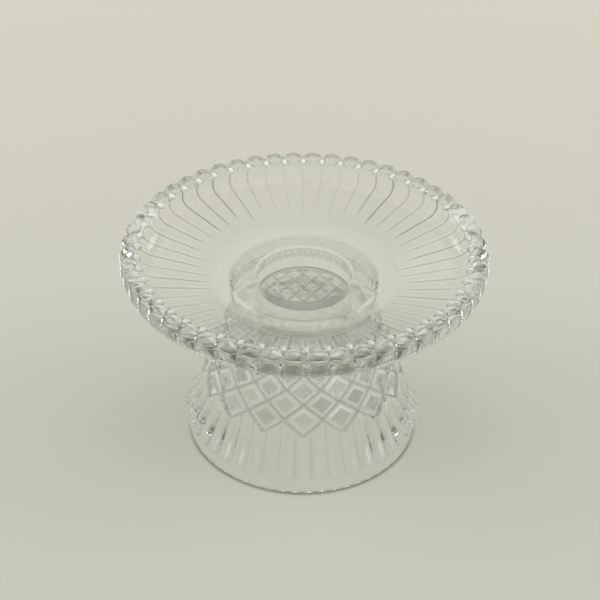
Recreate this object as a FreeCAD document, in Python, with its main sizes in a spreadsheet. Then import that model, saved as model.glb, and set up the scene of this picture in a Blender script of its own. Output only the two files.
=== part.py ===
import FreeCAD, Part
import math
import os
import re

import Sketcher

# Clear pressed-glass candle bowl that works either way up. It is modelled with the wide dish on top.
# Millimetres, +Z up. The origin is the middle of the foot ring, on the surface that it stands on.

doc = FreeCAD.newDocument("candle_bowl")

SIZES = {
    # the whole piece, and the flat joint at its waist
    "overall_height": 93.4,
    "rim_diameter": 152,
    "waist_height": 62,
    "waist_diameter": 59,
    "bond_thickness": 0.15,
    # rim of the dish: a round roll, notched into beads
    "rim_width": 7.2,
    "bead_count": 52,
    "notch_depth": 1.5,
    "notch_width": 3.6,
    "outer_wall_height": 12.5,
    "outer_corner_round": 5,
    # inside and underside of the dish
    "inner_wall_height": 8.9,
    "dish_depth": 14.8,
    "flat_diameter": 80,
    "floor_thickness": 4.2,
    "reed_start_diameter": 76,
    # straight well for a tealight
    "well_diameter": 40,
    "well_depth": 11.5,
    # faceted neck under the dish
    "neck_diameter": 61.6,
    "neck_bulge": 0.6,
    # foot ring and fluted skirt of the bell
    "foot_diameter": 97.2,
    "ring_diameter": 100.4,
    "ring_height": 6.4,
    "skirt_diameter": 102.8,
    "skirt_height": 9.5,
    "flute_count": 44,
    "flute_depth": 1.2,
    "flute_width": 4.6,
    # shoulder and crown of the bell, faceted all the way round with two flats for each of its diamonds
    "shoulder_height": 25.7,
    "crown_height": 56,
    "diamond_count": 16,
    # smooth hollow of the bell
    "hollow_mouth_diameter": 92.4,
    "hollow_shoulder_height": 28,
    "hollow_height": 50,
    "hollow_dome_radius": 45.2,
    # how far the rings of facets reach into the plain glass behind them
    "ring_bite": 3,
    # room that a cutter runs past the glass
    "cut_overrun": 1.5,
}

# How the skirt sweeps in, as shares of its height and of what it draws in by.
SKIRT_RISE_SHARES = (0, 0.5, 1)
SKIRT_DRAW_SHARES = (0, 0.6, 1)
# Where the rows of diamonds meet, as shares of the way from the shoulder to the crown.
DIAMOND_LEVEL_SHARES = (0, 0.234, 0.446, 0.627, 0.828, 1)
# Distance from the axis to the flats there, as shares of half the skirt's width.
DIAMOND_REACH_SHARES = (0.856, 0.821, 0.782, 0.735, 0.681, 0.63)
# The mould is cut with narrow flats where the rim rolls over, where the dish turns under and in the dome.
ROLL_FLATS = 4
CORNER_FLATS = 1
DOME_FLATS = 2

sheet = doc.addObject("Spreadsheet::Sheet", "sizes")
for row, (alias, value) in enumerate(SIZES.items(), start=1):
    sheet.set(f"A{row}", str(value))
    sheet.setAlias(f"A{row}", alias)
doc.recompute()


def formula(text):
    """A formula of plain size names, written so that any object of the document can read it."""
    return re.sub(r"[a-z_]+", lambda name: f"<<sizes>>.{name[0]}" if name[0] in SIZES else name[0], text)


def value_of(text):
    """The number that a formula of size names gives now."""
    found = sheet.evalExpression(formula(text))
    return float(getattr(found, "Value", found))


def origin_part(body, role):
    return next(item for item in body.Origin.OriginFeatures if item.Role == role)


def new_sketch(body, name, role, place=None, turn=None):
    """A sketch on one of the body's own planes, moved and turned by formulas."""
    sketch = body.newObject("Sketcher::SketchObject", name)
    sketch.AttachmentSupport = [(origin_part(body, role), "")]
    sketch.MapMode = "FlatFace"
    for axis, text in (place or {}).items():
        sketch.setExpression(f"AttachmentOffset.Base.{axis}", formula(text))
    for axis, text in (turn or {}).items():
        sketch.setExpression(f"AttachmentOffset.Rotation.{axis}", formula(text))
    return sketch


def pin(sketch, edge, end, across, up):
    """Hold one end of an edge at a place given by two formulas."""
    for kind, text in (("DistanceX", across), ("DistanceY", up)):
        if text == "0":
            line = -2 if kind == "DistanceX" else -1
            sketch.addConstraint(Sketcher.Constraint("PointOnObject", edge, end, line))
        else:
            number = sketch.addConstraint(Sketcher.Constraint(kind, -1, 1, edge, end, value_of(text)))
            sketch.setExpression(f"Constraints[{number}]", formula(text))


def draw(sketch, places, closed=True):
    """Draw straight lines through places, each an (across, up) pair of formulas."""
    points = [FreeCAD.Vector(value_of(across), value_of(up), 0) for across, up in places]
    ends = points[1:] + points[:1] if closed else points[1:]
    lines = [sketch.addGeometry(Part.LineSegment(first, last)) for first, last in zip(points, ends)]
    for line, place in zip(lines, places):
        pin(sketch, line, 1, *place)
    for line, after in zip(lines, lines[1:]):
        sketch.addConstraint(Sketcher.Constraint("Coincident", line, 2, after, 1))
    if closed:
        sketch.addConstraint(Sketcher.Constraint("Coincident", lines[-1], 2, lines[0], 1))
    else:
        pin(sketch, lines[-1], 2, *places[-1])
    return sketch


def round_places(across, up, radius, first, last, flats):
    """Places along a round of narrow flats, from one angle to another about its centre."""
    angles = [f"({first} + ({last} - ({first})) * {number} / {flats})" for number in range(flats + 1)]
    return [(f"{across} + {radius} * cos{angle}", f"{up} + {radius} * sin{angle}") for angle in angles]


def revolve(body, name, places):
    """Turn a closed outline all the way round the upright axis."""
    outline = draw(new_sketch(body, f"{name}_outline", "XZ_Plane"), places)
    solid = body.newObject("PartDesign::Revolution", name)
    solid.Profile = outline
    solid.ReferenceAxis = (outline, ["V_Axis"])
    solid.Angle = 360
    return solid


def run_along(feature, outline, path):
    """Set a pipe's outline, and the path of straight lines that it is mitred along."""
    feature.Profile = outline
    feature.Spine = (path, [f"Edge{number}" for number in range(1, path.GeometryCount + 1)])
    feature.Transition = "Right corner"


def facet_ring(body, name, places, count, first_corner):
    """Run an outline round a regular polygon, so that the ring has flat facets with sharp corners."""
    sides = round(value_of(count))
    corners = [f"({first_corner} + {number} * 360 deg / ({count}))" for number in range(1, sides + 1)]
    middle = f"({first_corner} + 180 deg / ({count}))"
    across = f"waist_diameter / 2 / cos(180 deg / ({count}))"
    way = [(f"waist_diameter / 2 * cos{middle}", f"waist_diameter / 2 * sin{middle}")]
    way += [(f"{across} * cos{corner}", f"{across} * sin{corner}") for corner in corners]
    path = draw(new_sketch(body, f"{name}_path", "XY_Plane"), way)
    outline = draw(new_sketch(body, f"{name}_outline", "XZ_Plane", turn={"Pitch": middle}), places)
    ring = body.newObject("PartDesign::AdditivePipe", name)
    run_along(ring, outline, path)
    return ring


def repeat(body, name, originals, count):
    """Repeat features evenly round the upright axis."""
    pattern = body.newObject("PartDesign::PolarPattern", name)
    pattern.Originals = originals
    pattern.Axis = (origin_part(body, "Z_Axis"), [""])
    pattern.Angle = 360
    pattern.setExpression("Occurrences", formula(count))
    body.Tip = pattern
    return pattern


def cut_vees(body, name, bottom, start_lean, depth, width, count, swing):
    """Cut a ring of V-shaped grooves. bottom is the line that the V's sharp bottom runs along."""
    path = draw(new_sketch(body, f"{name}_path", "XZ_Plane", turn={"Pitch": swing}), bottom, closed=False)
    across, up = bottom[0]
    place = {"x": f"({across}) * sin({swing})", "y": up, "z": f"({across}) * cos({swing})"}
    section = new_sketch(body, f"{name}_section", "YZ_Plane", place, {"Pitch": swing, "Roll": start_lean})
    high = f"({depth} + cut_overrun)"
    mouth = f"{width} / 2 * {high} / {depth}"
    draw(section, [("0", "0"), (f"-({mouth})", f"-{high}"), (mouth, f"-{high}")])
    groove = body.newObject("PartDesign::SubtractivePipe", name)
    run_along(groove, section, path)
    return repeat(body, f"{name}_ring", [groove], count)


# The dish: beaded rim, reeded underside, tealight well and the upper half of the neck.

RIM_REACH = "rim_diameter / 2"
ROLL_RADIUS = "rim_width / 2"
ROLL_REACH = f"({RIM_REACH} - {ROLL_RADIUS})"
ROLL_LEVEL = f"(overall_height - {ROLL_RADIUS})"
INNER_REACH = f"({RIM_REACH} - rim_width)"
INNER_LEVEL = "(overall_height - inner_wall_height)"
FLOOR_LEVEL = "(overall_height - dish_depth)"
UNDER_LEVEL = f"({FLOOR_LEVEL} - floor_thickness)"
CORNER_LEVEL = "(overall_height - outer_wall_height)"
REED_REACH = "reed_start_diameter / 2"
UNDER_SLOPE = f"atan(({CORNER_LEVEL} - {UNDER_LEVEL}) / ({RIM_REACH} - {REED_REACH}))"
CORNER_MIDDLE = (
    f"({RIM_REACH} - outer_corner_round)",
    f"({CORNER_LEVEL} + outer_corner_round * tan(45 deg - {UNDER_SLOPE} / 2))",
)
CORNER_TURN = (f"({UNDER_SLOPE} - 90 deg)", "0 deg", CORNER_FLATS)
ROLL_TURN = ("0 deg", "180 deg", ROLL_FLATS)
NECK_REACH = "neck_diameter / 2"
WELL_REACH = "well_diameter / 2"
WELL_FLOOR_LEVEL = f"{FLOOR_LEVEL} - well_depth"
DISH_JOINT_LEVEL = "(waist_height + bond_thickness)"
NECK_LEVELS = (DISH_JOINT_LEVEL, f"(({DISH_JOINT_LEVEL} + {UNDER_LEVEL}) / 2)", UNDER_LEVEL)
NECK_REACHES = ("waist_diameter / 2", f"({NECK_REACH} + neck_bulge)", NECK_REACH)
CORE_REACH = f"({NECK_REACH} - ring_bite)"

dish = doc.addObject("PartDesign::Body", "candle_dish")
revolve(
    dish,
    "dish_core",
    [
        ("0", DISH_JOINT_LEVEL),
        (CORE_REACH, DISH_JOINT_LEVEL),
        (CORE_REACH, f"{FLOOR_LEVEL} - floor_thickness / 2"),
        (f"{INNER_REACH} + rim_width / 2", f"{INNER_LEVEL} - floor_thickness / 2"),
        (f"{INNER_REACH} + rim_width / 2", INNER_LEVEL),
        (INNER_REACH, INNER_LEVEL),
        ("flat_diameter / 2", FLOOR_LEVEL),
        (WELL_REACH, FLOOR_LEVEL),
        (WELL_REACH, WELL_FLOOR_LEVEL),
        ("0", WELL_FLOOR_LEVEL),
    ],
)
facet_ring(
    dish,
    "rim_ring",
    [(f"{CORE_REACH} - ring_bite", UNDER_LEVEL), (REED_REACH, UNDER_LEVEL)]
    + round_places(*CORNER_MIDDLE, "outer_corner_round", *CORNER_TURN)
    + round_places(ROLL_REACH, ROLL_LEVEL, ROLL_RADIUS, *ROLL_TURN)
    + [
        (INNER_REACH, f"{INNER_LEVEL} - floor_thickness / 4"),
        ("flat_diameter / 2", f"{FLOOR_LEVEL} - floor_thickness / 4"),
        (f"{CORE_REACH} - ring_bite", f"{FLOOR_LEVEL} - floor_thickness / 4"),
    ],
    "bead_count",
    "0 deg",
)
facet_ring(
    dish,
    "neck_ring",
    [
        (f"{CORE_REACH} - ring_bite", DISH_JOINT_LEVEL),
        *zip(NECK_REACHES, NECK_LEVELS),
        (NECK_REACH, f"{UNDER_LEVEL} + floor_thickness / 2"),
        (f"{CORE_REACH} - ring_bite", f"{UNDER_LEVEL} + floor_thickness / 2"),
    ],
    "diamond_count * 2",
    "90 deg / diamond_count",
)
# Each notch comes in under the dish, follows the wall and the roll, and runs out of the inner wall.
NOTCH_LEAD = f"(({CORNER_LEVEL} + notch_depth - {UNDER_LEVEL}) / ({RIM_REACH} - {REED_REACH}))"
cut_vees(
    dish,
    "bead_notch",
    [(f"{REED_REACH} - cut_overrun", f"{UNDER_LEVEL} - cut_overrun * {NOTCH_LEAD}")]
    + round_places(*CORNER_MIDDLE, "(outer_corner_round - notch_depth)", *CORNER_TURN)
    + round_places(ROLL_REACH, ROLL_LEVEL, f"({ROLL_RADIUS} - notch_depth)", *ROLL_TURN)
    + [(f"{INNER_REACH} - cut_overrun", f"{ROLL_LEVEL} - notch_depth - cut_overrun")],
    f"-atan({NOTCH_LEAD})",
    "notch_depth",
    "notch_width",
    "bead_count",
    "0 deg",
)

# The clear adhesive that holds the two pressings together, flat between their ground faces.

bond = doc.addObject("Part::Cylinder", "waist_bond")
bond.setExpression("Radius", formula("waist_diameter / 2"))
bond.setExpression("Height", formula("bond_thickness"))
bond.setExpression("Placement.Base.z", formula("waist_height"))

# The bell: plain foot ring, fluted skirt with blunt flute ends, faceted crown and smooth hollow.

SKIRT_REACH = "skirt_diameter / 2"
DIAMOND_LEVELS = [
    f"(shoulder_height + (crown_height - shoulder_height) * {share})" for share in DIAMOND_LEVEL_SHARES
]
DIAMOND_REACHES = [f"({SKIRT_REACH} * {share})" for share in DIAMOND_REACH_SHARES]
SKIRT_DRAW = f"({SKIRT_REACH} - {DIAMOND_REACHES[0]})"
SKIRT_RISE = "(shoulder_height - skirt_height)"
SKIRT_LINE = [
    (f"{SKIRT_REACH} - {SKIRT_DRAW} * {draw_in}", f"skirt_height + {SKIRT_RISE} * {rise}")
    for draw_in, rise in zip(SKIRT_DRAW_SHARES, SKIRT_RISE_SHARES)
]
CROWN_LINE = list(zip(DIAMOND_REACHES, DIAMOND_LEVELS))
DOME_MIDDLE = "(hollow_height - hollow_dome_radius)"
DOME_FOOT_TURN = f"asin((hollow_shoulder_height - {DOME_MIDDLE}) / hollow_dome_radius)"
DOME_LINE = round_places("0", DOME_MIDDLE, "hollow_dome_radius", "90 deg", DOME_FOOT_TURN, DOME_FLATS)

bell = doc.addObject("PartDesign::Body", "bell_bowl")
revolve(
    bell,
    "bell_core",
    [
        ("0", "hollow_height"),
        *DOME_LINE[1:],
        ("hollow_mouth_diameter / 2", "0"),
        ("foot_diameter / 2", "0"),
        ("ring_diameter / 2", "ring_height"),
        *[(f"{across} - ring_bite", up) for across, up in SKIRT_LINE[:1] + CROWN_LINE],
        ("waist_diameter / 2 - ring_bite", "waist_height"),
        ("0", "waist_height"),
    ],
)
facet_ring(
    bell,
    "skirt_ring",
    [
        (f"{SKIRT_REACH} - ring_bite - flute_depth", "ring_height"),
        ("ring_diameter / 2", "ring_height"),
        *SKIRT_LINE,
        (f"{DIAMOND_REACHES[0]} - ring_bite", f"{DIAMOND_LEVELS[0]} + ring_bite"),
    ],
    "flute_count",
    "180 deg / flute_count",
)
# Each flute is a flat rib between two grooves, which run out of its blunt foot and up into the shoulder.
FLUTE_LEAN = f"atan({SKIRT_DRAW} * {SKIRT_DRAW_SHARES[1]} / ({SKIRT_RISE} * {SKIRT_RISE_SHARES[1]}))"
FLUTE_LINE = [(f"{across} - flute_depth", up) for across, up in SKIRT_LINE[1:]]
FLUTE_RUN = f"(cut_overrun + flute_depth + {SKIRT_RISE} * {SKIRT_RISE_SHARES[1]})"
cut_vees(
    bell,
    "flute_groove",
    [
        (
            f"{FLUTE_LINE[0][0]} + {FLUTE_RUN} * tan({FLUTE_LEAN})",
            f"{FLUTE_LINE[0][1]} - {FLUTE_RUN}",
        ),
        *FLUTE_LINE,
    ],
    f"-(90 deg + {FLUTE_LEAN})",
    "flute_depth",
    "flute_width",
    "flute_count",
    "180 deg / flute_count",
)
facet_ring(
    bell,
    "crown_ring",
    [
        (f"{DIAMOND_REACHES[0]} - ring_bite", f"{DIAMOND_LEVELS[0]} - ring_bite"),
        *CROWN_LINE,
        ("waist_diameter / 2", "waist_height"),
        ("waist_diameter / 2 - ring_bite - ring_bite", "waist_height"),
        (f"{DIAMOND_REACHES[-1]} - ring_bite - ring_bite", f"{DIAMOND_LEVELS[-1]} - ring_bite"),
    ],
    "diamond_count * 2",
    "90 deg / diamond_count",
)

# Faces that lie in one plane are joined once, at the end of each body, which keeps the build short.
for body in (dish, bell):
    for feature in body.Group:
        if hasattr(feature, "Refine"):
            feature.Refine = feature == body.Tip
doc.recompute()

os.makedirs("parts", exist_ok=True)
for item in doc.Objects:
    if "Invalid" in item.State or "Error" in item.State:
        raise RuntimeError(f"{item.Name} did not build: {item.State}")
for piece in (dish, bond, bell):
    piece.Label = piece.Name
    if piece.Shape.isNull() or not piece.Shape.isValid():
        raise RuntimeError(f"{piece.Name} is not a sound solid")
    piece.Shape.exportStep(f"parts/{piece.Label}.step")
    print(piece.Label, round(piece.Shape.Volume / 1000, 2), "cm3", len(piece.Shape.Faces), "faces")
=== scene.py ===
import math

import bpy
import numpy as np
from mathutils import Matrix, Vector


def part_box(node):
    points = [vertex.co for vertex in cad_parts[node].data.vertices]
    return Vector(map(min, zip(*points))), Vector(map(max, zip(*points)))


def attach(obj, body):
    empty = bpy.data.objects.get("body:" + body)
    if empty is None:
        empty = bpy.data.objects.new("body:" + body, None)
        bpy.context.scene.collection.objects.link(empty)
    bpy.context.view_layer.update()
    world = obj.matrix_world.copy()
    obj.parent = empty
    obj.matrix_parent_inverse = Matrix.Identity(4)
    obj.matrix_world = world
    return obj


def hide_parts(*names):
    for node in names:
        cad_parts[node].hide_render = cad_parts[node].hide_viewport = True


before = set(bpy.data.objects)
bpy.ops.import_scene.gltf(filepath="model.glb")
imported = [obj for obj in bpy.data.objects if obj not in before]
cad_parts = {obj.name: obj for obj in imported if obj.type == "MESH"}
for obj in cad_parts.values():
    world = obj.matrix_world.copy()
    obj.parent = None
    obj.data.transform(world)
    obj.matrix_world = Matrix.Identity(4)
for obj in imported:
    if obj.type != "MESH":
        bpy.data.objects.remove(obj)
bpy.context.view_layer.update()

# Candle dish. The upper pressing of clear glass: a wide shallow dish with beads round its rim, a reed
# under each bead, a straight well for a tealight, and a short solid neck below it, cut with diamonds.

MM = 0.001
dish_low, dish_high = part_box("candle_dish")
RIM_RADIUS = 76 * MM
RIM_TOP = dish_high.z
ROLL_RADIUS = 3.6 * MM
ROLL_MIDDLE_RADIUS = RIM_RADIUS - ROLL_RADIUS
ROLL_LEVEL = RIM_TOP - ROLL_RADIUS
BEAD_COUNT = 52
BEAD_DEPTH = 1.7 * MM
CORNER_BEAD_SHARE = 0.6
COLUMNS_PER_BEAD = 24
CORNER_RADIUS = 9 * MM
INNER_WALL_RADIUS = RIM_RADIUS - 2 * ROLL_RADIUS
KINK_ROUND = 9 * MM
KINK_LEVEL = RIM_TOP - 8.9 * MM
FLAT_RADIUS = 40 * MM
FLOOR_LEVEL = RIM_TOP - 14.8 * MM
WELL_RADIUS = 20 * MM
WELL_DEPTH = 11.5 * MM
WELL_LIP_ROUND = 0.8 * MM
WELL_CORNER_ROUND = 1.2 * MM
UNDER_LEVEL = FLOOR_LEVEL - 4.2 * MM
UNDER_SLOPE = 9.7
REED_START_RADIUS = 38 * MM
REED_DEPTH = 0.12 * MM
REED_GROOVE = 1.4 * MM
WAIST_RADIUS = 29.5 * MM
NECK_RADIUS = 30.8 * MM
NECK_BULGE = 0.6 * MM
NECK_FILLET = 0.5 * MM
NECK_MITRE_DEPTH = 0.7 * MM
JOINT_OVERLAP = 0.03 * MM
JOINT_INNER_RADIUS = 2 * MM
EDGE_BREAK = 0.1 * MM
DIAMOND_COUNT = 16
FLAT_SHARE = 0.4545
GROOVE_LINE = 0.35 * MM
SHARP_ANGLE = 24


def straight(first, last, count):
    """Places from first up to, but not at, last, as (distance from the axis, height) rows."""
    share = np.linspace(0, 1, count, endpoint=False)[:, None]
    return np.array(first) + share * (np.array(last) - np.array(first))


def rounded(middle, radius, first, last, count):
    """Places along an arc about middle, from one angle to another in degrees."""
    angle = np.radians(np.linspace(first, last, count, endpoint=False))
    return np.stack([middle[0] + radius * np.cos(angle), middle[1] + radius * np.sin(angle)], axis=1)


def outward(line):
    """Unit vectors square to a profile line, pointing to its right hand, out of the glass."""
    along = np.gradient(line, axis=0)
    along /= np.linalg.norm(along, axis=1)[:, None]
    return np.stack([along[:, 1], -along[:, 0]], axis=1)


def smooth_step(value, low, high):
    """0 up to low and 1 from high on, with a soft rise between."""
    share = np.clip((value - low) / (high - low), 0, 1)
    return share * share * (3 - 2 * share)


def hump(value, middle, width):
    """1 at middle, fading to 0 on both sides within about two widths."""
    return np.exp(-(((value - middle) / width) ** 2))


def turn_past(turn, middle):
    """How far round from middle a turn is, from -pi to pi."""
    return (turn - middle + math.pi) % (2 * math.pi) - math.pi


def place_across(turn, count, start=0.0):
    """Where a turn falls in one of count equal parts round the object: -1 and 1 are its two edges."""
    return (turn * count / (2 * math.pi) + start) % 1 * 2 - 1


def turned_mesh(name, reach, level, painted_light=0, veil=0):
    """A closed mesh from grids of distance from the axis and height, one row for each profile place.

    The grid after level is painted light: above 0 it is painted shade, 1 in the darkest lines, 0 is plain
    glass, and below 0 it is a painted highlight where the glass catches the light. veil is the share of light
    that a surface lets straight through.
    """
    rows, columns = reach.shape
    turn = np.linspace(0, 2 * math.pi, columns, endpoint=False)
    places = np.stack([reach * np.cos(turn), reach * np.sin(turn), level], axis=2).reshape(-1, 3)
    places = np.vstack([places, [0, 0, level[0].mean()], [0, 0, level[-1].mean()]])
    index = np.arange(rows * columns).reshape(rows, columns)
    after = np.roll(index, -1, axis=1)
    faces = np.stack([index[:-1], after[:-1], after[1:], index[1:]], axis=2).reshape(-1, 4).tolist()
    first, last = rows * columns, rows * columns + 1
    faces += np.stack([after[0], index[0], np.full(columns, first)], axis=1).tolist()
    faces += np.stack([index[-1], after[-1], np.full(columns, last)], axis=1).tolist()
    mesh = bpy.data.meshes.new(name)
    mesh.from_pydata(places, [], faces)
    mesh.shade_smooth()
    mesh.set_sharp_from_angle(angle=math.radians(SHARP_ANGLE))
    for key, grid in (("painted_light", painted_light), ("veil", veil)):
        values = np.zeros(rows * columns + 2)
        values[:-2] = np.broadcast_to(grid, reach.shape).reshape(-1)
        mesh.attributes.new(key, "FLOAT", "POINT").data.foreach_set("value", values)
    mesh.update()
    piece = bpy.data.objects.new(name, mesh)
    bpy.context.scene.collection.objects.link(piece)
    return piece


LEAST_AHEAD = 0.2
WIDEST_FACET = 1.7
ROW_MARGIN = 1 * MM
# Painted shade in the window of each diamond and a painted highlight stroke over it.
WINDOW_TONE = 0.14
WINDOW_TONE_SPREAD = 0.34
WINDOW_EDGE = (0.50, 0.66)
STROKE_TONE = 0.6
STROKE_PLACE = 0.67
STROKE_WIDTH = 0.08


def facet_reach(turn, level, middle_turn, corners, depth):
    """Distance from the axis to a blunt diamond cut in glass, at places given by turn and height.

    corners are (reach, level) of its lower, middle and upper corners on the uncut glass, and depth is how
    deep the mitre grooves round it are. Places too far round to lie on the diamond get 0.
    """
    (low_reach, low), (side_reach, middle), (high_reach, high) = corners
    step = math.pi / DIAMOND_COUNT
    bottom = np.array([low_reach - depth, 0, low])
    top = np.array([high_reach - depth, 0, high])
    side = np.array([(side_reach - depth) * math.cos(step), (side_reach - depth) * math.sin(step), middle])
    crown = np.array([side_reach, 0, middle])
    face = np.array([high - low, 0, low_reach - high_reach])
    planes = [(face / np.linalg.norm(face), crown)]
    for end in (bottom, top):
        edge = end + (crown - end) * (1 - FLAT_SHARE)
        square = np.cross(side - end, edge - end)
        square /= np.linalg.norm(square)
        square *= np.sign(square[0])
        planes.append((square, end))
        planes.append((square * np.array([1, -1, 1]), end))
    around = turn_past(turn, middle_turn)
    reaches = []
    for square, place in planes:
        ahead = square[0] * np.cos(around) + square[1] * np.sin(around)
        reaches.append((square @ place - square[2] * level) / np.maximum(ahead, LEAST_AHEAD))
    return np.where(np.abs(around) < WIDEST_FACET * step, np.stack(reaches).min(axis=0), 0)


def diamond_rows(turn, level, line, rows, depth):
    """Distance from the axis to rows of diamonds, nearness to a crease, and painted light on each diamond.

    line holds the corners' (reach, level), from below. The painted light is above 0, painted shade, in the
    dark window in the middle of a diamond, and below 0, a painted highlight, on the bright stroke over that
    window.
    """
    chance = np.random.default_rng(7)
    best = np.zeros(np.broadcast(turn, level).shape)
    second = best.copy()
    tone = best.copy()
    for row in rows:
        low, middle, high = (line[row + step][1] for step in (-1, 0, 1))
        inside = (level > low - ROW_MARGIN) & (level < high + ROW_MARGIN)
        above = (level - middle) / np.where(level > middle, high - middle, middle - low)
        for number in range(DIAMOND_COUNT):
            middle_turn = (2 * number + (row + 1) % 2) * math.pi / DIAMOND_COUNT
            cut = facet_reach(turn, level, middle_turn, line[row - 1 : row + 2], depth)
            cut = np.where(inside, cut, 0)
            from_middle = np.abs(turn_past(turn, middle_turn)) * DIAMOND_COUNT / math.pi + np.abs(above)
            darkness = WINDOW_TONE + WINDOW_TONE_SPREAD * chance.random()
            brightness = STROKE_TONE * chance.random()
            window = darkness * (1 - smooth_step(from_middle, *WINDOW_EDGE))
            stroke = brightness * hump(from_middle, STROKE_PLACE, STROKE_WIDTH) * smooth_step(above, 0, 0.1)
            tone = np.where(cut > best, window - stroke, tone)
            second = np.maximum(second, np.minimum(best, cut))
            best = np.maximum(best, cut)
    ridge = hump(best, second, GROOVE_LINE)
    return best, ridge, tone * (1 - ridge)


# The dish's profile starts at the waist, goes out under the dish, over the rim and in to the well's
# floor. The last number of each run is its count of rows.
UNDER_NORMAL = UNDER_SLOPE - 90
corner_level = (
    UNDER_LEVEL
    + (RIM_RADIUS - CORNER_RADIUS - REED_START_RADIUS) * math.tan(math.radians(UNDER_SLOPE))
    + CORNER_RADIUS / math.cos(math.radians(UNDER_SLOPE))
)
corner_middle = (RIM_RADIUS - CORNER_RADIUS, corner_level)
corner_start = (
    corner_middle[0] + CORNER_RADIUS * math.cos(math.radians(UNDER_NORMAL)),
    corner_middle[1] + CORNER_RADIUS * math.sin(math.radians(UNDER_NORMAL)),
)
floor_slope = math.degrees(math.atan2(KINK_LEVEL - FLOOR_LEVEL, INNER_WALL_RADIUS - FLAT_RADIUS))
kink_run = KINK_ROUND * math.tan(math.radians(45 - floor_slope / 2))
kink_middle = (INNER_WALL_RADIUS - KINK_ROUND, KINK_LEVEL + kink_run)
kink_end = (
    kink_middle[0] + KINK_ROUND * math.sin(math.radians(floor_slope)),
    kink_middle[1] - KINK_ROUND * math.cos(math.radians(floor_slope)),
)
joint_level = dish_low.z - JOINT_OVERLAP
joint_margin = WAIST_RADIUS - 2 * MM
neck_top = UNDER_LEVEL - NECK_FILLET
neck_line = [
    (WAIST_RADIUS, joint_level),
    (NECK_RADIUS + NECK_BULGE, (joint_level + neck_top) / 2),
    (NECK_RADIUS, neck_top),
]
lip_radius = WELL_RADIUS + WELL_LIP_ROUND
well_floor = FLOOR_LEVEL - WELL_DEPTH
well_foot = (WELL_RADIUS - WELL_CORNER_ROUND, well_floor + WELL_CORNER_ROUND)
dish_line = np.vstack([
    straight((JOINT_INNER_RADIUS, joint_level), (joint_margin, joint_level), 5),
    straight((joint_margin, joint_level), (WAIST_RADIUS - 2 * EDGE_BREAK, joint_level), 3),
    straight((WAIST_RADIUS - EDGE_BREAK, joint_level + EDGE_BREAK), (NECK_RADIUS, neck_top), 30),
    rounded((NECK_RADIUS + NECK_FILLET, neck_top), NECK_FILLET, 180, 90, 14),
    straight((NECK_RADIUS + NECK_FILLET, UNDER_LEVEL), (REED_START_RADIUS, UNDER_LEVEL), 3),
    straight((REED_START_RADIUS, UNDER_LEVEL), corner_start, 24),
    rounded(corner_middle, CORNER_RADIUS, UNDER_NORMAL, 0, 10),
    straight((RIM_RADIUS, corner_level), (RIM_RADIUS, ROLL_LEVEL), 5),
    rounded((ROLL_MIDDLE_RADIUS, ROLL_LEVEL), ROLL_RADIUS, 0, 180, 26),
    straight((INNER_WALL_RADIUS, ROLL_LEVEL), (INNER_WALL_RADIUS, kink_middle[1]), 8),
    rounded(kink_middle, KINK_ROUND, 0, floor_slope - 90, 8),
    straight(kink_end, (FLAT_RADIUS, FLOOR_LEVEL), 14),
    straight((FLAT_RADIUS, FLOOR_LEVEL), (lip_radius, FLOOR_LEVEL), 8),
    rounded((lip_radius, FLOOR_LEVEL - WELL_LIP_ROUND), WELL_LIP_ROUND, 90, 180, 8),
    straight((WELL_RADIUS, FLOOR_LEVEL - WELL_LIP_ROUND), (WELL_RADIUS, well_foot[1]), 30),
    rounded(well_foot, WELL_CORNER_ROUND, 0, -90, 8),
    straight((well_foot[0], well_floor), (0.5 * MM, well_floor), 34),
])
NECK_FIRST_ROW = 8
NECK_END_ROW = 48
turn = np.linspace(0, 2 * math.pi, BEAD_COUNT * COLUMNS_PER_BEAD, endpoint=False)[None, :]
reach, level = dish_line[:, :1], dish_line[:, 1:]
rows = np.arange(len(dish_line))[:, None]
on_outside = rows < np.argmax(level)
on_neck = (rows >= NECK_FIRST_ROW) & (rows < NECK_END_ROW)

# Beads and reeds. A bead is an arc across its width, drawn in square to the profile; valley is the
# distance from the notch between two beads.
bead_place = place_across(turn, BEAD_COUNT)
bead_half_width = math.pi * RIM_RADIUS / BEAD_COUNT
bead_curve = (bead_half_width**2 + BEAD_DEPTH**2) / (2 * BEAD_DEPTH)
bead_drop = bead_curve - np.sqrt(bead_curve**2 - (bead_place * bead_half_width) ** 2)
corner_share = smooth_step(level, corner_level - 7 * MM, corner_level - 1 * MM)
roll_share = smooth_step(level, ROLL_LEVEL - 3 * MM, ROLL_LEVEL + 0.5 * MM)
outer_share = CORNER_BEAD_SHARE * corner_share + (1 - CORNER_BEAD_SHARE) * roll_share
inner_share = smooth_step(level, KINK_LEVEL + 1 * MM, ROLL_LEVEL + 1 * MM)
valley = (1 - np.abs(bead_place)) * math.pi * reach / BEAD_COUNT
reed_share = on_outside * smooth_step(reach, REED_START_RADIUS + 6 * MM, REED_START_RADIUS + 16 * MM)
reed_drop = REED_DEPTH * reed_share * hump(valley, 0, REED_GROOVE / 2)
rim_drop = np.maximum(bead_drop * np.where(on_outside, outer_share, inner_share), reed_drop)
square = outward(dish_line)
dish_reach = reach - square[:, :1] * rim_drop
dish_level = level - square[:, 1:] * rim_drop
neck_cut, neck_crease_shade, neck_painted_cells = diamond_rows(turn, level, neck_line, (1,), NECK_MITRE_DEPTH)
neck_cut = np.maximum(neck_cut, reach - NECK_MITRE_DEPTH)
fillet_share = smooth_step(level, neck_top, neck_top + NECK_FILLET)
dish_reach = np.where(on_neck, neck_cut * (1 - fillet_share) + reach * fillet_share, dish_reach)
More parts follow.
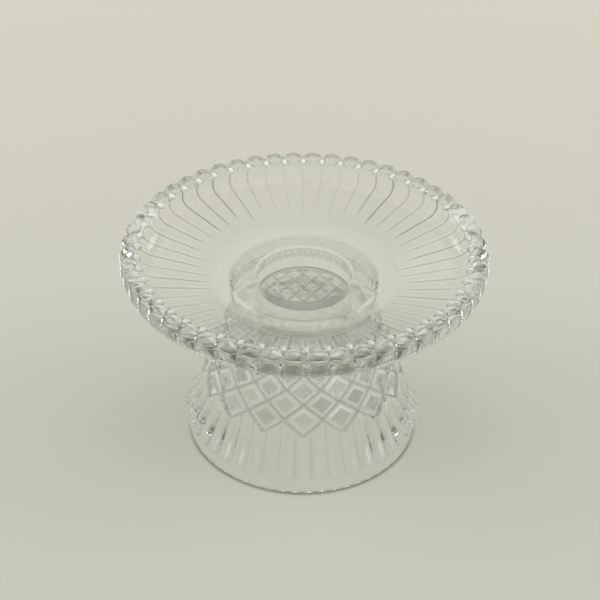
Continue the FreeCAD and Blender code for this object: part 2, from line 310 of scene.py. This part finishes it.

# Painted light on the dish. Thick pressed glass shows dark and bright lines where it bends light; here they
# are painted shade and painted highlights, kept in the mesh, fixed to the object; their places are turns in
# radians from its far side, with a spread.
NECK_SIDES = (1.75, 0.42)
PATCH_SIDES = (1.24, 0.13)
ARC_SIDES = (2.2, 0.2)
FRONT_STARTS = (1.9, 2.5)
LINE_STARTS = (0.2, 0.6)
LINE_WEAKENS = (1.3, 2.0)
LINE_LENGTHENS = (1.0, 1.5)
LINE_TONES = (0.2, 0.8, 0.45)
LINE_CHANCE = (0.5, 1.15)
LINE_END = 47
LINE_END_NEARER = 8
LINE_END_SHIFT = 2.5
LINE_FADE = 7 * MM
BESIDE_STARTS = (0.6, 1.2)
BESIDE_PLACE = (1.1 * MM, 0.4 * MM)
BESIDE_TONE = 0.3
from_back = np.abs(turn_past(turn, math.pi / 2))
to_front = smooth_step(from_back, *FRONT_STARTS)
at_side = hump(from_back, *NECK_SIDES)

# Painted shade in dark lines along the reeds, each with a darkness and an end of its own, and a painted
# highlight in a bright line beside each.
chance = np.random.default_rng(11)
reed_number = np.round(turn * BEAD_COUNT / (2 * math.pi)).astype(int) % BEAD_COUNT
line_tone = LINE_TONES[0] + LINE_TONES[1] * smooth_step(from_back, *LINE_STARTS)
line_tone = line_tone - LINE_TONES[2] * smooth_step(from_back, *LINE_WEAKENS)
line_tone = line_tone * chance.uniform(*LINE_CHANCE, BEAD_COUNT)[reed_number]
line_shift = chance.uniform(-LINE_END_SHIFT, LINE_END_SHIFT, BEAD_COUNT)[reed_number]
line_end = (LINE_END - LINE_END_NEARER * smooth_step(from_back, *LINE_LENGTHENS) + line_shift) * MM
line_fade = smooth_step(reach, line_end, line_end + LINE_FADE)
painted_reed_shade = on_outside * (level < ROLL_LEVEL + 2 * MM) * hump(valley, 0, GROOVE_LINE) * line_fade * line_tone
painted_beside_highlight = on_outside * (level < corner_level) * hump(valley, *BESIDE_PLACE) * line_fade
painted_beside_highlight = BESIDE_TONE * painted_beside_highlight * smooth_step(from_back, *BESIDE_STARTS)

# Painted shade turns the thick corner and the underside grey towards the front, and the rolled rim has a
# painted highlight like a pearl on each bead, a painted grey line in each notch and, at each side, a patch of
# small painted glints.
THICK_TONE = 0.30
THICK_STARTS = (1.4, 2.1)
UNDER_TONE = 0.15
UNDER_STARTS = (2.0, 2.7)
ROLL_STARTS = (1.3, 1.7)
PEARL_TONE = 0.5
PEARL_WIDTH = 0.38
PEARL_PLACE = (ROLL_MIDDLE_RADIUS - 1.5 * MM, 1.3 * MM)
OUTLINE_TONE = 0.45
OUTLINE_WIDTH = 0.7 * MM
PATCH_TONE = 0.7
at_corner = smooth_step(level, corner_level - 7 * MM, corner_level)
under_dish = reach > REED_START_RADIUS
painted_thick_shade = THICK_TONE * at_corner * smooth_step(from_back, *THICK_STARTS)
painted_thick_shade = np.maximum(painted_thick_shade, UNDER_TONE * under_dish * smooth_step(from_back, *UNDER_STARTS))
on_roll = (level > ROLL_LEVEL - 1 * MM) * smooth_step(from_back, *ROLL_STARTS)
painted_pearl_highlight = PEARL_TONE * on_roll * hump(bead_place, 0, PEARL_WIDTH) * hump(reach, *PEARL_PLACE)
painted_notch_shade = OUTLINE_TONE * on_roll * hump(valley, 0, OUTLINE_WIDTH)
glints = 0.5 + 0.6 * np.sin(turn * 67 + level * 1500) + 0.4 * np.sin(turn * 113 - level * 2600)
painted_glint_patch = np.clip(glints, 0, 1) * hump(from_back, *PATCH_SIDES)
painted_glint_patch = PATCH_TONE * painted_glint_patch * (level > KINK_LEVEL + 2 * MM) * (level > corner_level)
dish_painted_light = np.maximum(np.maximum(painted_reed_shade, painted_thick_shade * on_outside), painted_notch_shade) - painted_beside_highlight - painted_glint_patch - painted_pearl_highlight

# Painted shade and painted highlights on the neck's diamonds show at its two sides, with painted sparks in
# them and a short painted bright arc over them.
NECK_TONES = (0.8, 1.5, 1.6)
ARC_TONE = 0.7
ARC_RADIUS = 33 * MM
ARC_LEVEL = neck_top + 0.3 * MM
ARC_HALF_HEIGHT = 0.8 * MM
painted_spark = np.clip(np.sin(turn * 61 + level * 4000) + np.sin(turn * 97 - level * 7000) - 1.0, 0, 1)
neck_painted_light = NECK_TONES[0] * neck_crease_shade + NECK_TONES[1] * neck_painted_cells - NECK_TONES[2] * painted_spark
dish_painted_light = np.where(on_neck, neck_painted_light * at_side, dish_painted_light)
near_arc = on_outside * (reach < ARC_RADIUS) * (np.abs(level - ARC_LEVEL) < ARC_HALF_HEIGHT)
dish_painted_light = dish_painted_light - ARC_TONE * near_arc * hump(from_back, *ARC_SIDES)

# Painted light in the well, standing in for what its glass reflects and bends: its far wall has a painted
# scalloped grey band with bright flecks and a dark foot, its near wall is painted dark, its lip is painted
# bright behind and grey in front, and a painted lattice of lines crosses its floor.
SCALLOP_COUNT = 44
SCALLOP_DEPTH = 4.6
SCALLOP_RISE = 1.1
SCALLOP_EDGE = 0.3 * MM
SCALLOP_TONE = 0.26
FLECK_PLACE = (2.6 * MM, 0.7 * MM)
FLECK_SHARE = 0.9
FOOT_LINE = (WELL_DEPTH - 0.7 * MM, 0.35 * MM)
FOOT_TONE = 0.75
NEAR_WALL_TONE = 0.6
NEAR_LINE = (0.6 * MM, 0.45 * MM)
LIP_TONES = (-0.3, 0.5)
LATTICE_ACROSS = 7.1 * MM
LATTICE_ALONG = 10.1 * MM
LATTICE_SHIFT = 5.6 * MM
LATTICE_PITCH = 5.8 * MM
LATTICE_LINE = 0.5 * MM
LATTICE_TONE = 0.85
FLOOR_VEIL = 0.35
NECK_VEIL = 0.8
SIDE_VEIL_LOSS = 0.6
in_well = (rows > np.argmax(level)) & (reach < lip_radius)
depth_in = FLOOR_LEVEL - level
scallop = (SCALLOP_DEPTH + SCALLOP_RISE * np.abs(np.sin(turn * SCALLOP_COUNT / 2))) * MM
fleck = FLECK_SHARE * hump(depth_in, *FLECK_PLACE) * (np.sin(turn * SCALLOP_COUNT) > 0.1)
far_wall_painted_shade = SCALLOP_TONE * (1 - smooth_step(depth_in, scallop - SCALLOP_EDGE, scallop + SCALLOP_EDGE))
far_wall_painted_shade = np.maximum(far_wall_painted_shade * (1 - fleck), FOOT_TONE * hump(depth_in, *FOOT_LINE))
far_wall_painted_shade = far_wall_painted_shade * smooth_step(depth_in, 0.3 * MM, 1.1 * MM)
near_wall_painted_shade = NEAR_WALL_TONE + (1 - NEAR_WALL_TONE) * hump(depth_in, *NEAR_LINE)
dish_painted_light = np.where(in_well, far_wall_painted_shade * (1 - to_front) + near_wall_painted_shade * to_front, dish_painted_light)
lip_painted_light = LIP_TONES[0] * (1 - to_front) + LIP_TONES[1] * to_front
dish_painted_light = np.where(in_well & (depth_in < WELL_LIP_ROUND), lip_painted_light, dish_painted_light)
painted_lattice = 0
for slant in (1, -1):
    along = (reach * np.sin(turn) - LATTICE_SHIFT) / LATTICE_ALONG
    count = reach * np.cos(turn) / LATTICE_ACROSS + slant * along
    off_line = np.abs(count - np.round(count)) * LATTICE_PITCH
    painted_lattice = np.maximum(painted_lattice, hump(off_line, 0, LATTICE_LINE))
on_floor = np.abs(level - well_floor) < 0.01 * MM
dish_painted_light = np.where(on_floor, LATTICE_TONE * painted_lattice, dish_painted_light)
dish_veil = np.where(on_neck, NECK_VEIL - SIDE_VEIL_LOSS * at_side, 0) + FLOOR_VEIL * on_floor
dish = turned_mesh("clear_candle_dish", dish_reach, dish_level, dish_painted_light, dish_veil)


class Finish:
    """One output socket of a material, which takes part in sums as a number does."""

    tree = None

    def __init__(self, socket):
        self.socket = socket

    @classmethod
    def node(cls, kind, settings=None, output=0, **inputs):
        """Any node: settings are set first, then its sockets get values or links."""
        made = cls.tree.nodes.new(kind)
        for key, value in (settings or {}).items():
            setattr(made, key, value)
        for key, value in inputs.items():
            socket = made.inputs[int(key[1:]) if key[1:].isdigit() else key.replace("_", " ")]
            if isinstance(value, Finish):
                cls.tree.links.new(value.socket, socket)
            else:
                socket.default_value = value
        return cls(made.outputs[output] if made.outputs else None)

    def math(self, operation, other, swap=False):
        pair = (other, self) if swap else (self, other)
        return Finish.node("ShaderNodeMath", {"operation": operation}, _0=pair[0], _1=pair[1])

    def length(self):
        return Finish.node("ShaderNodeVectorMath", {"operation": "LENGTH"}, output="Value", _0=self)

    def __add__(self, other):
        return self.math("ADD", other)

    def __sub__(self, other):
        return self.math("SUBTRACT", other)

    def __rsub__(self, other):
        return self.math("SUBTRACT", other, swap=True)

    def __mul__(self, other):
        return self.math("MULTIPLY", other)

    __radd__ = __add__
    __rmul__ = __mul__


# Colours of the painted shade and the painted highlight glow that are mixed into the glass.
PAINTED_SHADE_TONE = (0.10, 0.105, 0.09, 1)
PAINTED_SHADE_SHARE = 0.62
GLINT_TONE = (0.80, 0.82, 0.76, 1)
BRIGHT_TONE = (0.98, 0.985, 0.97, 1)
PAINTED_GLOW_TONE = (0.47, 0.475, 0.39, 1)
RIPPLE_SIZE = 20 * MM
RIPPLE_HEIGHT = 0.4 * MM
HAZE = 0.02
GLASS_IOR = 1.51
REFLECTIONS_KEPT = 2.5
REFRACTIONS_KEPT = 9.5
CROSSINGS_KEPT = 4.5


def light_path(output):
    return Finish.node("ShaderNodeLightPath", output=output)


def mixed_shader(share, first, second):
    return Finish.node("ShaderNodeMixShader", _0=share, _1=first, _2=second)


def pressed_glass(name, tint, roughness, ripple, shade):
    """Clear glass with the faint ripple that a mould leaves.

    shade is the share of light in its shadow. Where the mesh's painted light grid is above 0 a dark diffuse
    is mixed in as painted shade, and where it is below 0 a grey-white glow is mixed in as a painted
    highlight. A ray that has bounced too often goes straight on, and at last meets an even grey glow, painted
    light standing in for the room, so that no part of the glass turns black.
    """
    material = bpy.data.materials.new(name)
    material.use_nodes = True
    material.node_tree.nodes.clear()
    material.cycles.emission_sampling = "NONE"
    Finish.tree = material.node_tree
    place = Finish.node("ShaderNodeTexCoord", output="Object")
    wave = Finish.node("ShaderNodeTexNoise", Vector=place, Scale=1 / RIPPLE_SIZE, Detail=1.5)
    film = Finish.node("ShaderNodeTexNoise", Vector=place, Scale=9 / RIPPLE_SIZE, Detail=3.0)
    bump = Finish.node("ShaderNodeBump", Strength=ripple, Distance=RIPPLE_HEIGHT, Height=wave)
    painted_light = Finish.node("ShaderNodeAttribute", {"attribute_name": "painted_light"}, output="Fac")
    veil = Finish.node("ShaderNodeAttribute", {"attribute_name": "veil"}, output="Fac")
    glass = Finish.node(
        "ShaderNodeBsdfPrincipled",
        Base_Color=tint,
        Roughness=roughness + HAZE * film,
        IOR=GLASS_IOR,
        Transmission_Weight=1.0,
        Normal=bump,
    )
    # Painted shade where the painted light grid is above 0, and a painted highlight glow where it is below 0.
    dark = Finish.node("ShaderNodeBsdfDiffuse", Color=PAINTED_SHADE_TONE)
    glint = Finish.node("ShaderNodeEmission", Color=GLINT_TONE, Strength=1.0)
    bright = Finish.node("ShaderNodeBsdfTransparent", Color=BRIGHT_TONE)
    glass = mixed_shader(PAINTED_SHADE_SHARE * painted_light, glass, dark)
    glass = mixed_shader(-1.0 * painted_light, glass, glint)
    glass = mixed_shader(veil, glass, bright)
    reflected = light_path("Glossy Depth").math("GREATER_THAN", REFLECTIONS_KEPT)
    refracted = light_path("Transmission Depth").math("GREATER_THAN", REFRACTIONS_KEPT)
    crossed = light_path("Transparent Depth").math("GREATER_THAN", CROSSINGS_KEPT)
    # Painted glow: an even grey light standing in for the room, for rays that have bounced too often.
    deep = Finish.node("ShaderNodeEmission", Color=PAINTED_GLOW_TONE, Strength=1.0)
    late = mixed_shader(crossed, bright, deep)
    glass = mixed_shader(reflected.math("MAXIMUM", refracted), glass, late)
    clear = Finish.node("ShaderNodeBsdfTransparent", Color=(shade, shade, shade * 0.985, 1))
    indirect = light_path("Is Shadow Ray").math("MAXIMUM", light_path("Is Diffuse Ray"))
    Finish.node("ShaderNodeOutputMaterial", _0=mixed_shader(indirect, glass, clear))
    return material


DISH_TINT = (0.985, 0.99, 0.975, 1)
dish.data.materials.append(pressed_glass("pressed_glass", DISH_TINT, roughness=0.02, ripple=0.05, shade=0.84))
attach(dish, "root")
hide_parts("candle_dish")

# Waist bond. A film of clear adhesive, thinner than paper, cured between the two ground waist faces,
# which holds the two pressings together.

bond_low, bond_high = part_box("waist_bond")
BOND_RADIUS = WAIST_RADIUS - 0.05 * MM
BOND_COLUMNS = 176
bond_bottom = bond_low.z - JOINT_OVERLAP
bond_top = bond_high.z + JOINT_OVERLAP
bond_line = np.vstack([
    straight((JOINT_INNER_RADIUS, bond_bottom), (BOND_RADIUS, bond_bottom), 6),
    straight((BOND_RADIUS, bond_bottom), (BOND_RADIUS, bond_top), 3),
    straight((BOND_RADIUS, bond_top), (JOINT_INNER_RADIUS, bond_top), 6),
])
all_round = np.ones((1, BOND_COLUMNS))
bond = turned_mesh("clear_waist_bond", bond_line[:, :1] * all_round, bond_line[:, 1:] * all_round)
BOND_TINT = (0.985, 0.99, 0.98, 1)
bond.data.materials.append(pressed_glass("cured_adhesive", BOND_TINT, roughness=0.0, ripple=0.02, shade=0.97))
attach(bond, "root")
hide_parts("waist_bond")

# Bell bowl. The lower pressing, standing mouth down: a smooth hollow, a plain foot ring, a fluted skirt
# with blunt flute ends and a crown of blunt diamonds up to the waist. Turned over, it is a small bowl.

bell_low, bell_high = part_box("bell_bowl")
SKIRT_RADIUS = bell_high.x
WAIST_LEVEL = bell_high.z + JOINT_OVERLAP
FOOT_RADIUS = 48.6 * MM
FOOT_ROUND = 1.2 * MM
BAND_RADIUS = 50.2 * MM
BAND_LEVEL = 6.4 * MM
TONGUE_LEVEL = 9.5 * MM
TONGUE_HIGHEST = TONGUE_LEVEL + 3 * MM
TONGUE_DROP = 1.2 * MM
TONGUE_RISE = 2.6 * MM
TONGUE_EDGE = 0.5 * MM
FLUTE_COUNT = 44
FLUTE_DEPTH = 1.2 * MM
FLUTE_FULLNESS = 0.97
MITRE_DEPTH = 1.7 * MM
HALF_CELL = 22
CELL_MARGIN = 0.03
BELL_COLUMNS = 2 * DIAMOND_COUNT * HALF_CELL
CROWN_LINE = [
    (SKIRT_RADIUS * 0.856, 25.7 * MM),
    (SKIRT_RADIUS * 0.821, 32.8 * MM),
    (SKIRT_RADIUS * 0.782, 39.2 * MM),
    (SKIRT_RADIUS * 0.735, 44.7 * MM),
    (SKIRT_RADIUS * 0.681, 50.8 * MM),
    (SKIRT_RADIUS * 0.630, 56.0 * MM),
]
SKIRT_LINE = [(SKIRT_RADIUS, TONGUE_LEVEL), (48.2 * MM, 15.8 * MM), (45.3 * MM, 21.7 * MM), CROWN_LINE[0]]
HOLLOW_MOUTH_RADIUS = 46.2 * MM
HOLLOW_WALL = [(44.8 * MM, 8 * MM), (38.8 * MM, 28 * MM)]
DOME_RADIUS = 90 * MM
DOME_TOP = 50 * MM
DOME_REACH = 20 * MM
SHOULDER_ROUND = 22 * MM

dome_edge = math.degrees(math.acos(DOME_REACH / DOME_RADIUS))
dome_middle = (0, DOME_TOP - DOME_RADIUS)
shoulder_share = 1 - SHOULDER_ROUND / DOME_RADIUS
shoulder_middle = (
    DOME_REACH * shoulder_share,
    dome_middle[1] + DOME_RADIUS * math.sin(math.radians(dome_edge)) * shoulder_share,
)
(wall_foot_reach, wall_foot), (wall_top_reach, wall_top) = HOLLOW_WALL
wall_turn = math.degrees(math.atan2(wall_foot_reach - wall_top_reach, wall_top - wall_foot))
wall_end = (
    shoulder_middle[0] + SHOULDER_ROUND * math.cos(math.radians(wall_turn)),
    shoulder_middle[1] + SHOULDER_ROUND * math.sin(math.radians(wall_turn)),
)
mouth_round = HOLLOW_MOUTH_RADIUS + FOOT_ROUND
waist_runs = [
    straight((JOINT_INNER_RADIUS, WAIST_LEVEL), (WAIST_RADIUS - 1 * MM, WAIST_LEVEL), 6),
    straight((WAIST_RADIUS - 1 * MM, WAIST_LEVEL), (WAIST_RADIUS, WAIST_LEVEL), 2),
    straight((WAIST_RADIUS, WAIST_LEVEL), CROWN_LINE[-1], 12),
]
crown_runs = [straight(CROWN_LINE[row + 1], CROWN_LINE[row], HALF_CELL) for row in (4, 3, 2, 1, 0)]
skirt_runs = [
    straight(SKIRT_LINE[3], SKIRT_LINE[2], 7),
    straight(SKIRT_LINE[2], SKIRT_LINE[1], 11),
    straight(SKIRT_LINE[1], SKIRT_LINE[0], 16),
    straight(SKIRT_LINE[0], (BAND_RADIUS, BAND_LEVEL), 12),
]
foot_runs = [
    straight((BAND_RADIUS, BAND_LEVEL), (FOOT_RADIUS + FOOT_ROUND, FOOT_ROUND), 5),
    rounded((FOOT_RADIUS, FOOT_ROUND), FOOT_ROUND, 0, -90, 6),
    straight((FOOT_RADIUS, 0), (mouth_round, 0), 3),
    rounded((mouth_round, FOOT_ROUND), FOOT_ROUND, -90, -180, 6),
]
hollow_runs = [
    straight((HOLLOW_MOUTH_RADIUS, FOOT_ROUND), HOLLOW_WALL[0], 4),
    straight(HOLLOW_WALL[0], wall_end, 12),
    rounded(shoulder_middle, SHOULDER_ROUND, wall_turn, dome_edge, 16),
    rounded(dome_middle, DOME_RADIUS, dome_edge, 89, 12),
]
bell_line = np.vstack(waist_runs + crown_runs + skirt_runs + foot_runs + hollow_runs)
crown_start = len(np.vstack(waist_runs))
crown_end = crown_start + len(np.vstack(crown_runs))
skirt_end = crown_end + len(np.vstack(skirt_runs))
hollow_start = skirt_end + len(np.vstack(foot_runs))
turn = np.linspace(0, 2 * math.pi, BELL_COLUMNS, endpoint=False)[None, :]
reach, level = bell_line[:, :1], bell_line[:, 1:]
rows = np.arange(len(bell_line))[:, None]
in_crown = (rows >= crown_start) & (rows < crown_end)
in_low_row = (rows > crown_end - HALF_CELL) & (rows < crown_end)
in_skirt = (rows >= crown_end) & (rows < skirt_end)
in_hollow = rows >= hollow_start

# Flutes and diamonds. The flutes run up between the lowest diamonds, and end below in blunt tongues.
flute_place = place_across(turn, FLUTE_COUNT, 0.5)
flute_drop = FLUTE_DEPTH * (1 - np.sqrt(np.clip(1 - (FLUTE_FULLNESS * flute_place) ** 2, 0, 1)))
blunt = TONGUE_LEVEL - TONGUE_DROP + TONGUE_RISE * (1 - np.sqrt(np.clip(1 - flute_place**2, 0, 1)))
below_tongue = 1 - smooth_step(level, blunt - TONGUE_EDGE, blunt + TONGUE_EDGE)
fluted = reach - flute_drop
tongue_reach = np.minimum(reach, BAND_RADIUS) * below_tongue + fluted * (1 - below_tongue)
diamonds, crown_crease_shade, crown_painted_cells = diamond_rows(turn, level, CROWN_LINE, (1, 2, 3, 4), MITRE_DEPTH)
cell_share = (level - CROWN_LINE[0][1]) / (CROWN_LINE[1][1] - CROWN_LINE[0][1])
cell_place = np.abs(place_across(turn, DIAMOND_COUNT, 0.5))
bell_reach = np.where(in_crown, np.maximum(diamonds, reach - MITRE_DEPTH), reach)
bell_reach = np.where(in_low_row & (cell_place > cell_share + CELL_MARGIN), fluted, bell_reach)
bell_reach = np.where(in_skirt, np.where(level < TONGUE_HIGHEST, tongue_reach, fluted), bell_reach)
bell_level = np.broadcast_to(level, bell_reach.shape)

# Painted light on the bell: painted shade in lines in the grooves, painted dark windows and painted bright
# strokes on the diamonds, uneven painted dark streaks in the flutes, and painted bright ones in those a
# little left and right of the front.
LOW_LINE_REACH = 8 * MM
LOW_FLUTE_TONE = 0.25
CROWN_LINE_TONE = 0.55
SKIRT_LINE_TONE = 0.15
STREAK_TONE = 0.08
LIT_TONE = 0.55
LIT_PLACE = (0.3, 0.2)
LIT_SIDES = (0.66, 0.2)
LIT_STARTS = (9 * MM, 13 * MM)
LIT_ENDS = (15 * MM, 19 * MM)
HOLLOW_VEIL = 0.5
HOLLOW_VEIL_ENDS = (22 * MM, 30 * MM)
flute_line = hump((1 - np.abs(flute_place)) * math.pi * reach / FLUTE_COUNT, 0, GROOVE_LINE)
low_line = hump((cell_place - cell_share) * LOW_LINE_REACH, 0, GROOVE_LINE)
low_row_crease_shade = np.where(cell_place > cell_share, np.maximum(LOW_FLUTE_TONE * flute_line, low_line), low_line)
bell_painted_light = np.where(in_crown & ~in_low_row, crown_crease_shade, 0)
bell_painted_light = np.where(in_low_row, low_row_crease_shade, bell_painted_light)
bell_painted_light = np.where(in_skirt & (level > TONGUE_LEVEL), flute_line, bell_painted_light)
bell_painted_light = bell_painted_light * np.where(in_crown, CROWN_LINE_TONE, SKIRT_LINE_TONE)
unevenness = np.sin(turn * 7 + 1) + np.sin(turn * 13 + 2) + np.sin(turn * 29)
painted_flute_streak = STREAK_TONE * flute_place**2 * np.clip(0.6 + 0.35 * unevenness, 0, 1.3)
painted_lit_streak = hump(flute_place, *LIT_PLACE) * hump(np.abs(turn_past(turn, -math.pi / 2)), *LIT_SIDES)
painted_lit_streak = LIT_TONE * painted_lit_streak * smooth_step(level, *LIT_STARTS) * (1 - smooth_step(level, *LIT_ENDS))
bell_painted_light = bell_painted_light + in_skirt * (painted_flute_streak - painted_lit_streak)
on_diamonds = in_crown & (~in_low_row | (cell_place < cell_share))
bell_painted_light = np.where(on_diamonds, bell_painted_light + crown_painted_cells, bell_painted_light)
bell_veil = HOLLOW_VEIL * in_hollow * (1 - smooth_step(reach, *HOLLOW_VEIL_ENDS))
bell = turned_mesh("clear_bell_bowl", bell_reach[::-1], bell_level[::-1], bell_painted_light[::-1], bell_veil[::-1])
BELL_TINT = (0.98, 0.99, 1.0, 1)
bell.data.materials.append(pressed_glass("bell_glass", BELL_TINT, roughness=0.02, ripple=0.05, shade=0.97))
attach(bell, "root")
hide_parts("bell_bowl")

# Table, light and camera. A plain pale table top, painted darker towards the camera as painted shade and with
# a painted contact shadow round the front of the foot ring, a soft uneven room, a broad lamp and a small
# window on each side, and a long lens looking down at the dish, square to its front.

TABLE_HALF = 4.0
TABLE_NEAR = (0.570, 0.575, 0.527, 1)
TABLE_FAR = (0.645, 0.622, 0.574, 1)
CONTACT_SHADOW_TONE = (0.05, 0.05, 0.045, 1)
CONTACT_SHADOW_SHARE = 0.75
ROOM_LOW = (0.34, 0.34, 0.30, 1)
ROOM_HIGH = (0.57, 0.57, 0.51, 1)
ROOM_DIM = 0.35
ROOM_BRIGHT = 1.65


def soft_range(value, low, high):
    return Finish.node("ShaderNodeMapRange", {"interpolation_type": "SMOOTHSTEP"}, _0=value, _1=low, _2=high)


def mixed_colour(share, first, second):
    return Finish.node("ShaderNodeMix", {"data_type": "RGBA"}, output=2, _0=share, _6=first, _7=second)


table_corners = [(x * TABLE_HALF, y * TABLE_HALF, 0) for x, y in ((-1, -1), (1, -1), (1, 1), (-1, 1))]
table_mesh = bpy.data.meshes.new("table")
table_mesh.from_pydata(table_corners, [], [(0, 1, 2, 3)])
table = bpy.data.objects.new("table", table_mesh)
bpy.context.scene.collection.objects.link(table)
paper = bpy.data.materials.new("pale_paper")
paper.use_nodes = True
paper.node_tree.nodes.clear()
Finish.tree = paper.node_tree
place = Finish.node("ShaderNodeTexCoord", output="Object")
depth = Finish.node("ShaderNodeSeparateXYZ", output="Y", Vector=place)
# Painted shade: the paper turns darker towards the camera.
away = Finish.node("ShaderNodeMapRange", _0=depth, _1=-120 * MM, _2=420 * MM)
nearer = Finish.node("ShaderNodeMapRange", _0=depth, _1=10 * MM, _2=-20 * MM)
from_axis = place.length()
# Painted contact shadow: a dark ring on the table round the front of the foot ring.
painted_contact_shadow = soft_range(from_axis, 45.5 * MM, 47.5 * MM) - soft_range(from_axis, 48.8 * MM, 51.5 * MM)
paper_tone_and_painted_shade = mixed_colour(away * away, TABLE_NEAR, TABLE_FAR)
paper_tone_and_painted_shade = mixed_colour(CONTACT_SHADOW_SHARE * (painted_contact_shadow * nearer), paper_tone_and_painted_shade, CONTACT_SHADOW_TONE)
surface = Finish.node("ShaderNodeBsdfPrincipled", Base_Color=paper_tone_and_painted_shade, Roughness=0.9)
Finish.node("ShaderNodeOutputMaterial", _0=surface)
table.data.materials.append(paper)

world = bpy.data.worlds.new("soft_room")
bpy.context.scene.world = world
world.use_nodes = True
world.node_tree.nodes.clear()
Finish.tree = world.node_tree
way = Finish.node("ShaderNodeTexCoord", output="Generated")
height = Finish.node("ShaderNodeSeparateXYZ", output="Z", Vector=way)
room = mixed_colour(soft_range(height, 0.0, 0.75), ROOM_LOW, ROOM_HIGH)
cloud = Finish.node("ShaderNodeTexNoise", Vector=way, Scale=2.6, Detail=1.0)
light = Finish.node("ShaderNodeMapRange", _0=cloud, _1=0.36, _2=0.64, _3=ROOM_DIM, _4=ROOM_BRIGHT)
Finish.node("ShaderNodeOutputWorld", _0=Finish.node("ShaderNodeBackground", Color=room, Strength=light))

LAMP_COLOUR = (1.0, 0.995, 0.97)
LAMP_TARGET = (0, 0, 50 * MM)
WINDOW_SIZE = (0.35, 0.5)


def soft_lamp(name, place, size, power, glint=False, through=False):
    """An area lamp aimed at the object, seen in reflections or through the glass only if asked."""
    lamp = bpy.data.lights.new(name, "AREA")
    lamp.shape = "RECTANGLE"
    lamp.size, lamp.size_y = size
    lamp.energy = power
    lamp.color = LAMP_COLOUR
    holder = bpy.data.objects.new(name, lamp)
    holder.location = place
    aim = Vector(LAMP_TARGET) - Vector(place)
    holder.rotation_euler = aim.to_track_quat("-Z", "Y").to_euler()
    holder.visible_glossy = glint
    holder.visible_transmission = through
    bpy.context.scene.collection.objects.link(holder)


for side in (-1, 1):
    soft_lamp("fill", (side * 1.5, 0.1, 1.2), (0.9, 0.9), 16)
    soft_lamp("window", (side * 1.25, 1.5, 0.95), WINDOW_SIZE, 1.3, glint=True)
    soft_lamp("window_pane", (side * 1.25, 1.5, 0.95), WINDOW_SIZE, 0.7, through=True)

PITCH = math.radians(35.925)
ROLL = math.radians(0.81)
SWING = math.radians(-0.85)
CAMERA_PLACE = Vector((-1.52, -519.5, 441.0)) * MM
ahead = Vector((0, math.cos(PITCH), -math.sin(PITCH)))
up = Vector((0, math.sin(PITCH), math.cos(PITCH)))
right = Vector((1, 0, 0))
rolled_right = right * math.cos(ROLL) + up * math.sin(ROLL)
rolled_up = up * math.cos(ROLL) - right * math.sin(ROLL)
look = Matrix((rolled_right, rolled_up, -ahead)).transposed().to_4x4()
look.translation = CAMERA_PLACE
camera_data = bpy.data.cameras.new("camera")
camera_data.lens = 91.29
camera_data.sensor_width = 36
camera = bpy.data.objects.new("camera", camera_data)
camera.matrix_world = Matrix.Rotation(SWING, 4, "Z") @ look
bpy.context.scene.collection.objects.link(camera)
bpy.context.scene.camera = camera
bpy.context.scene.view_settings.view_transform = "Standard"
